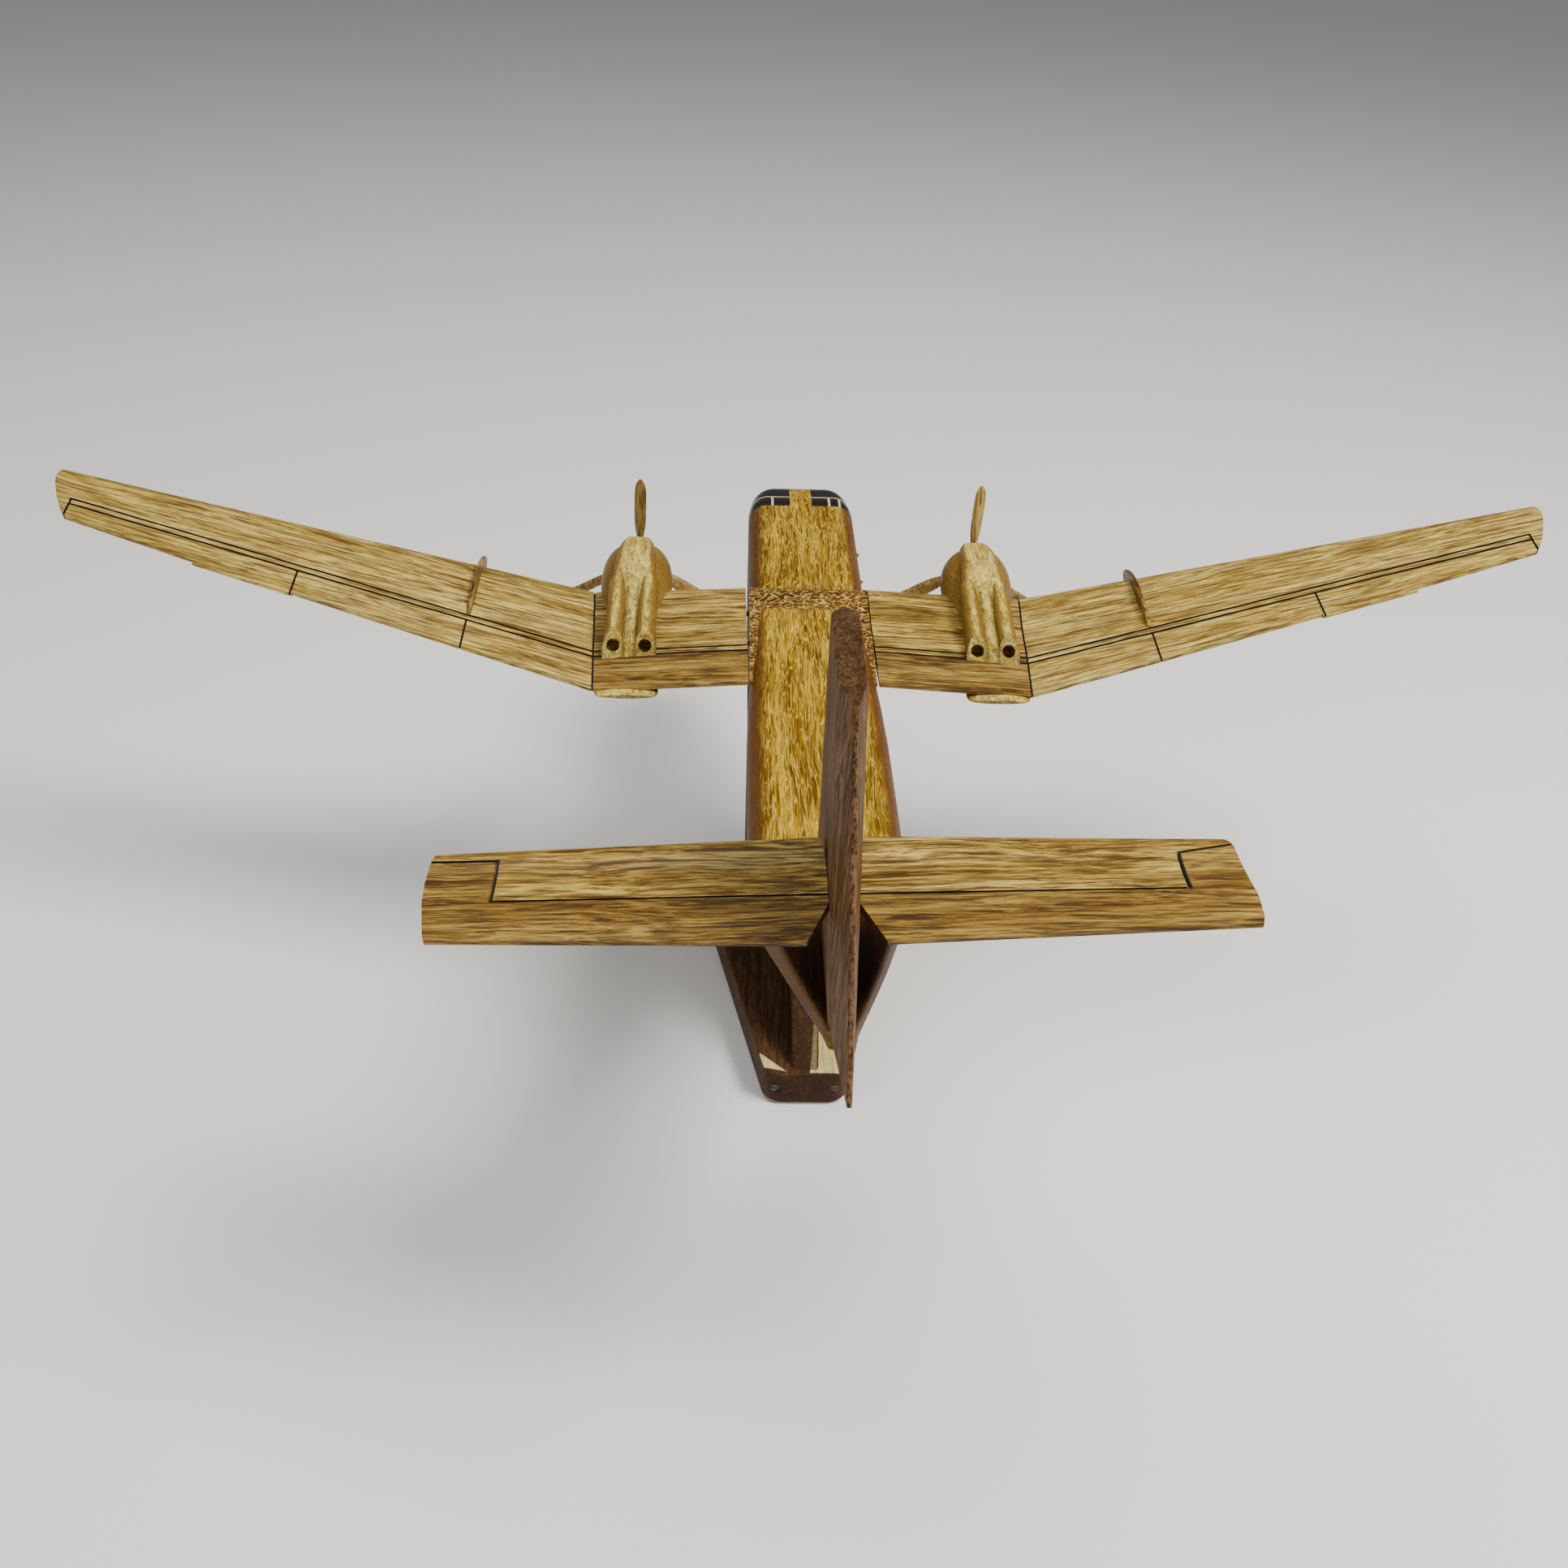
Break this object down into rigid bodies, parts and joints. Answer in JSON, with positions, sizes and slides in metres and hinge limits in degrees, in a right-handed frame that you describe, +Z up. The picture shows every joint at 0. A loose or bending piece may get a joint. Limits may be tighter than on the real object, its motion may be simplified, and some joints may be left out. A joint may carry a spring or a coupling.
{
  "type": "wooden propeller aircraft model",
  "caption": "Lacquered wooden desk model of a twin-engine high-wing transport aircraft with upswept wings, on a shield-shaped stand.",
  "frame": {"origin": "on the underside of the felt-covered stand, straight below the peg that carries the aircraft", "axes": "+X to the starboard wing tip, +Y to the nose, +Z up"},
  "size_m": [0.4088, 0.306, 0.18],
  "materials": {
    "hull_wood": "reddish brown hardwood, gloss lacquer",
    "deck_wood": "golden hardwood with lengthwise grain, gloss lacquer",
    "saddle_wood": "figured reddish hardwood, gloss lacquer",
    "wing_wood": "olive golden hardwood, gloss lacquer",
    "nacelle_wood": "tan hardwood with hand-carved facets, gloss lacquer",
    "fin_wood": "brown hardwood, gloss lacquer",
    "fence_wood": "reddish brown hardwood, lacquered",
    "prop_wood": "olive brown hardwood, gloss lacquer",
    "stand_wood": "golden brown hardwood, satin lacquer",
    "window_black": "black gloss lacquer",
    "frame_cream": "cream inlay, gloss lacquer",
    "brass": "turned, plain",
    "steel": "plain",
    "felt": "dark green felt"
  },
  "bodies": {
    "stand": {"stand_base": "stand_wood", "felt_pad": "felt", "stand_arm": "stand_wood", "stand_peg": "brass", "base_screws": "steel"},
    "airframe": {"hull": "hull_wood", "front_deck": "deck_wood", "aft_deck": "deck_wood", "side_pegs": "hull_wood", "wing_centre_block": "saddle_wood", "cockpit_panes": "window_black", "window_frames": "frame_cream", "cockpit_centre_strip": "deck_wood", "fin": "fin_wood", "rudder": "fin_wood", "tail_pins": "steel", "peg_socket": "brass", "left_stabiliser": "wing_wood", "left_elevator": "wing_wood", "right_stabiliser": "wing_wood", "right_elevator": "wing_wood"},
    "left_wing": {"left_inner_panel": "wing_wood", "left_inner_slot_strip": "wing_wood", "left_inner_flap": "wing_wood", "left_outer_panel": "wing_wood", "left_outer_slot_strip": "wing_wood", "left_mid_flap": "wing_wood", "left_outer_flap": "wing_wood", "left_aileron": "wing_wood", "left_wing_fence": "fence_wood", "left_nacelle": "nacelle_wood", "left_exhaust_fairing": "nacelle_wood", "left_exhaust_tubes": "nacelle_wood", "left_propeller_shaft": "steel", "left_shaft_washer": "steel", "left_wing_dowels": "steel"},
    "left_propeller": {"left_propeller_hub": "prop_wood", "left_propeller_blades": "prop_wood"},
    "right_wing": {"right_inner_panel": "wing_wood", "right_inner_slot_strip": "wing_wood", "right_inner_flap": "wing_wood", "right_outer_panel": "wing_wood", "right_outer_slot_strip": "wing_wood", "right_mid_flap": "wing_wood", "right_outer_flap": "wing_wood", "right_aileron": "wing_wood", "right_wing_fence": "fence_wood", "right_nacelle": "nacelle_wood", "right_exhaust_fairing": "nacelle_wood", "right_exhaust_tubes": "nacelle_wood", "right_propeller_shaft": "steel", "right_shaft_washer": "steel", "right_wing_dowels": "steel"},
    "right_propeller": {"right_propeller_hub": "prop_wood", "right_propeller_blades": "prop_wood"}
  },
  "joints": [
    {"name": "lift_off", "type": "slide", "parent": "stand", "child": "airframe", "axis": [0, 0, 1], "range_m": [0, 0.012]},
    {"name": "left_wing_plug", "type": "slide", "parent": "airframe", "child": "left_wing", "axis": [-1, 0, 0], "range_m": [0, 0.009]},
    {"name": "left_propeller_spin", "type": "hinge", "parent": "left_wing", "child": "left_propeller", "pos_m": [-0.0496, 0.049, 0.1107], "axis": [0, 1, 0], "continuous": true},
    {"name": "right_wing_plug", "type": "slide", "parent": "airframe", "child": "right_wing", "axis": [1, 0, 0], "range_m": [0, 0.009]},
    {"name": "right_propeller_spin", "type": "hinge", "parent": "right_wing", "child": "right_propeller", "pos_m": [0.0496, 0.049, 0.1107], "axis": [0, 1, 0], "continuous": true}
  ]
}
